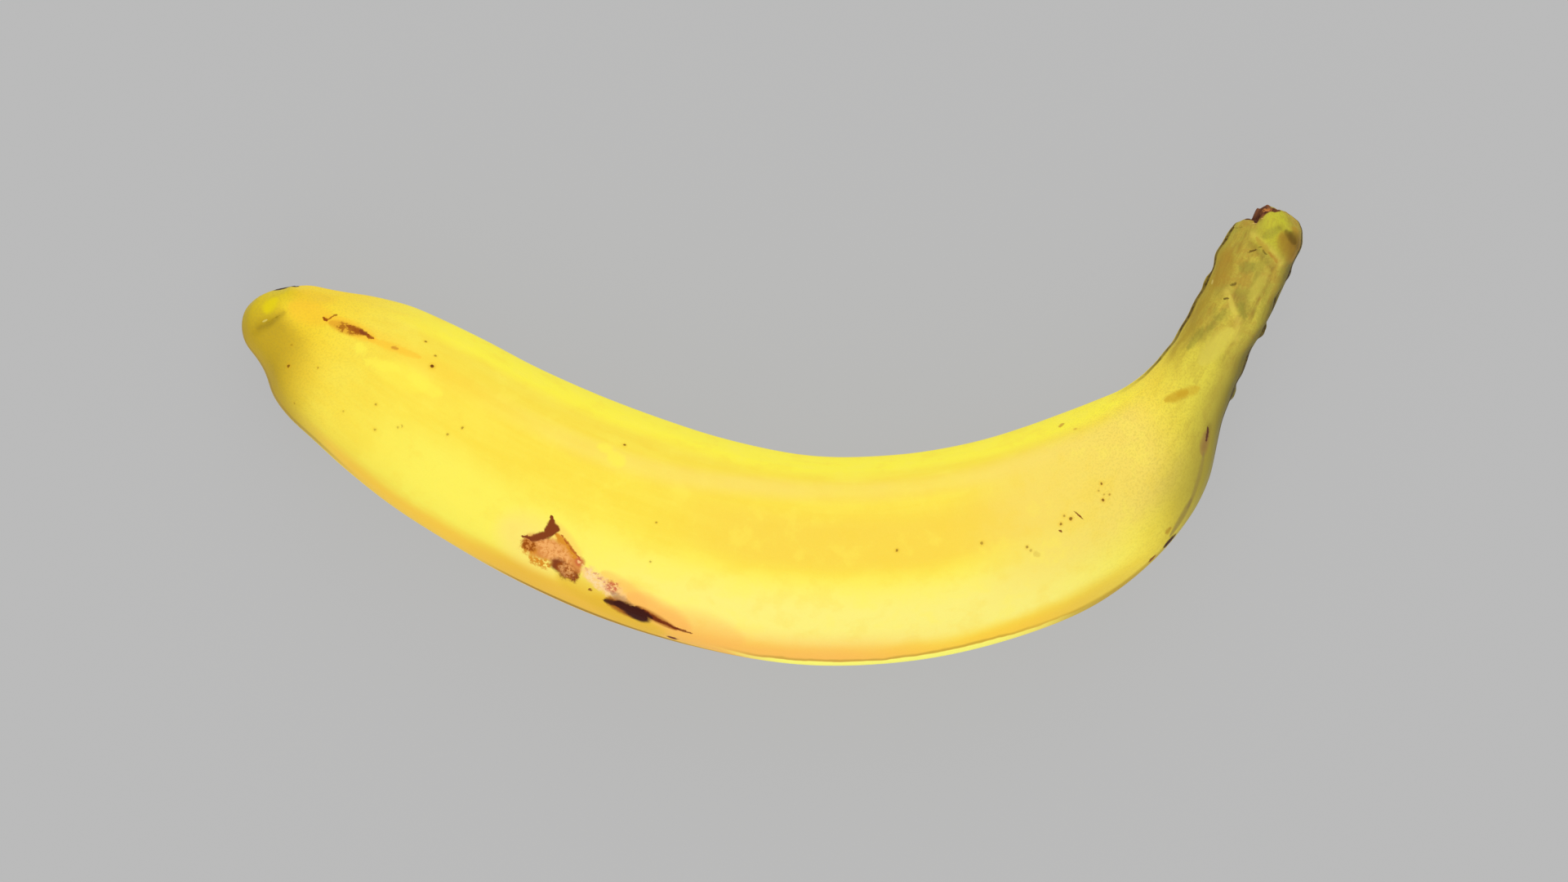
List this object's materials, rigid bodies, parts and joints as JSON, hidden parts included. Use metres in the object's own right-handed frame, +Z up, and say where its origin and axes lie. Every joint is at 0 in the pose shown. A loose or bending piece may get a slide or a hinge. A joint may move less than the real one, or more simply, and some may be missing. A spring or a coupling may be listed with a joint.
{
  "type": "banana",
  "caption": "Ripe curved banana lying on its side, with soft lengthwise ridges, a short torn stem and a small flower scar.",
  "frame": {"origin": "on the surface the fruit lies on, under the middle of its outline seen from above", "axes": "+X along the fruit from its flower end to its stem, +Y towards the inside of its bend, +Z up"},
  "size_m": [0.1946, 0.0848, 0.0356],
  "materials": {
    "peel": "satin"
  },
  "bodies": {
    "root": {"banana": "peel"}
  },
  "joints": []
}
